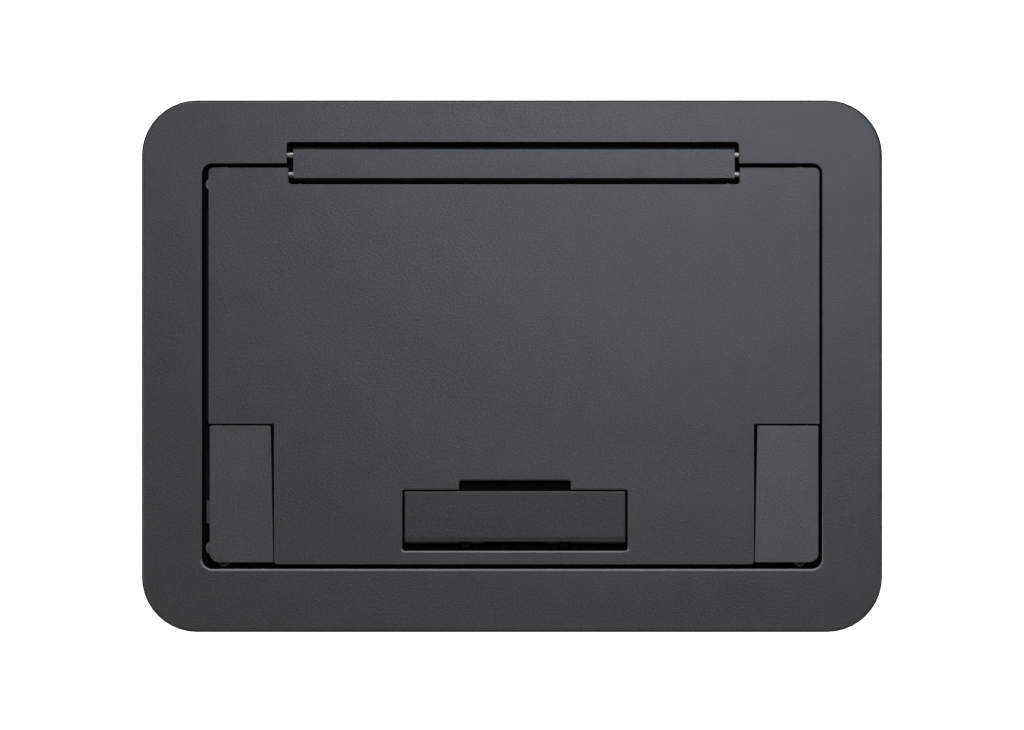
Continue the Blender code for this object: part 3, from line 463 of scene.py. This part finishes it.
def zinc_plate():
    """Dull zinc plating with cloudy patches."""
    g = Graph("zinc_plate")
    cloud = g.noise(420.0, 4.0, 0.6)
    return g.finish(
        g.ramp(cloud, (0.3, (0.13, 0.126, 0.11)), (0.7, (0.28, 0.27, 0.24))),
        g.map_range(cloud, *NOISE_SPAN, 0.42, 0.58),
        g.noise(2600.0, 2.0, 0.5), 0.15, 0.00005, Metallic=1.0,
    )


def drawn_steel():
    """Bright steel drawn along X, with fine lengthwise scratches."""
    g = Graph("drawn_steel")
    stretch = g.node("ShaderNodeMapping", Vector=g.place(), Scale=(40.0, 4200.0, 4200.0))
    lines = g.noise(1.0, 3.0, 0.6, stretch.outputs["Vector"])
    return g.finish(
        g.ramp(lines, (0.3, (0.17, 0.17, 0.16)), (0.7, (0.28, 0.28, 0.265))),
        g.map_range(lines, *NOISE_SPAN, 0.34, 0.44),
        lines, 0.12, 0.00003, Metallic=1.0,
    )


def black_steel():
    """Black-oxide steel with a faint oily gloss."""
    g = Graph("black_steel")
    cloud = g.noise(700.0, 3.0, 0.6)
    return g.finish(
        g.ramp(cloud, (0.3, (0.020, 0.020, 0.021)), (0.7, (0.060, 0.059, 0.058))),
        g.map_range(cloud, *NOISE_SPAN, 0.32, 0.48),
        g.noise(3000.0, 2.0, 0.5), 0.15, 0.00004, Metallic=0.8,
    )


def foam_rubber():
    """Matt black closed-cell foam."""
    g = Graph("foam_rubber")
    cells = g.cells(2300.0)
    return g.finish(
        g.ramp(cells, (0.0, (0.003, 0.003, 0.0035)), (0.8, (0.010, 0.010, 0.011))),
        g.map_range(cells, 0.0, 0.8, 0.95, 0.8),
        cells, 0.5, 0.00012, Specular_IOR_Level=0.2,
    )


def pale_floor():
    """Pale floor that glows a little, like a light table, with a painted shade under the object."""
    g = Graph("pale_floor")
    axes = g.place_axes()
    beyond = [
        g.maths("GREATER_THAN", g.maths("ABSOLUTE", axes[axis], 0.0), half)
        for axis, half in zip(("X", "Y"), PAINTED_SHADE_HALF)
    ]
    around = g.maths("MAXIMUM", *beyond)
    pale = g.ramp(g.noise(9.0, 3.0, 0.5), (0.3, (0.90, 0.90, 0.90)), (0.7, (0.93, 0.93, 0.93)))
    # Near black and without glow under the object, as painted shade; pale and glowing all around.
    g.feed(g.shader.inputs["Base Color"], g.mix(around, (0.01, 0.01, 0.01), pale))
    g.feed(g.shader.inputs["Emission Strength"], g.maths("MULTIPLY", around, FLOOR_GLOW))
    g.shader.inputs["Emission Color"].default_value = (1.0, 1.0, 1.0, 1.0)
    g.shader.inputs["Roughness"].default_value = 0.8
    return g.material


# ---------------------------------------------------------------- stage

def place_camera():
    data = bpy.data.cameras.new("camera")
    data.lens = LENS
    data.sensor_width = SENSOR
    data.clip_start = CLIP_START
    camera = bpy.data.objects.new("camera", data)
    camera.location = (0.0, VIEW_SHIFT_Y, cad_box[1][2] + VIEW_WIDTH * LENS / SENSOR)
    bpy.context.scene.collection.objects.link(camera)
    bpy.context.scene.camera = camera


def area_light(name, place, size, power, colour):
    """A soft light aimed at the origin."""
    data = bpy.data.lights.new(name, "AREA")
    data.shape = "RECTANGLE"
    data.size, data.size_y = size
    data.energy = power
    data.color = colour
    light = bpy.data.objects.new(name, data)
    light.location = place
    light.rotation_euler = (-Vector(place)).to_track_quat("-Z", "Y").to_euler()
    bpy.context.scene.collection.objects.link(light)


def studio_sky():
    """Soft light from all around, dim overhead and bright near the horizon."""
    world = bpy.data.worlds.new("studio")
    world.use_nodes = True
    tree = world.node_tree
    background = tree.nodes["Background"].inputs
    direction = tree.nodes.new("ShaderNodeTexCoord")
    split = tree.nodes.new("ShaderNodeSeparateXYZ")
    dimming = tree.nodes.new("ShaderNodeMapRange")
    tree.links.new(direction.outputs["Generated"], split.inputs["Vector"])
    tree.links.new(split.outputs["Z"], dimming.inputs["Value"])
    tree.links.new(dimming.outputs["Result"], background["Strength"])
    dimming.inputs["From Min"].default_value = 0.0
    dimming.inputs["From Max"].default_value = SKY_DIM_Z
    dimming.inputs["To Min"].default_value = SKY_HORIZON
    dimming.inputs["To Max"].default_value = SKY_ZENITH
    background["Color"].default_value = SKY_COLOUR
    bpy.context.scene.world = world


def build_stage():
    bm = bmesh.new()
    bmesh.ops.create_grid(bm, x_segments=1, y_segments=1, size=FLOOR_HALF)
    floor = new_object("studio_floor", bm, pale_floor())
    floor.location.z = cad_box[0][2] - FLOOR_DROP
    studio_sky()
    for light in LIGHTS:
        area_light(*light)
    bpy.context.scene.view_settings.view_transform = "Standard"


# ---------------------------------------------------------------- object

def build_object():
    finishes = {
        "powder_black": powder_coat("powder_coat", (0.0186, 0.0184, 0.0180), (0.0450, 0.0440, 0.0425)),
        "bright_steel": drawn_steel(),
        "black_steel": black_steel(),
        "zinc_plated": zinc_plate(),
        "foam_rubber": foam_rubber(),
    }
    # Lighter copies of the powder coat paint light on the doors, more on the right door than the left.
    right_door_lit_coat = powder_coat("powder_coat_right_door_lit", (0.0325, 0.0323, 0.0318), (0.0750, 0.0742, 0.0725))
    left_door_lit_coat = powder_coat("powder_coat_left_door_lit", (0.0280, 0.0278, 0.0274), (0.0590, 0.0583, 0.0570))
    # A darker copy of the powder coat paints shade on the handle; it is a little warmer and rougher too.
    handle_shaded_coat = powder_coat(
        "powder_coat_handle_shaded", (0.0145, 0.0142, 0.0138), (0.0268, 0.0243, 0.0228), dullness=(0.39, 0.47),
    )
    # The near-black coat paints shade.
    painted_shade = painted_shade_coat()
    # The lighter lip coat paints the highlight on the lips.
    lips = painted_lip_highlight()
    special = {
        "egress_door_left": left_door_lit_coat,
        "egress_door_right": right_door_lit_coat,
        "pull_handle": handle_shaded_coat,
        # The handle's rod gets the near-black coat: painted shade where it shows in its gap.
        "handle_rod": painted_shade,
    }
    twist_spring(SPRING, finishes["black_steel"])
    for node in frame["nodes"]:
        if node == SPRING:
            continue
        slot = slot_of(node)
        coat = special.get(node, finishes[slot])
        refine(node, (coat, painted_shade, lips) if slot == "powder_black" else (coat,))


place_camera()
build_stage()
build_object()
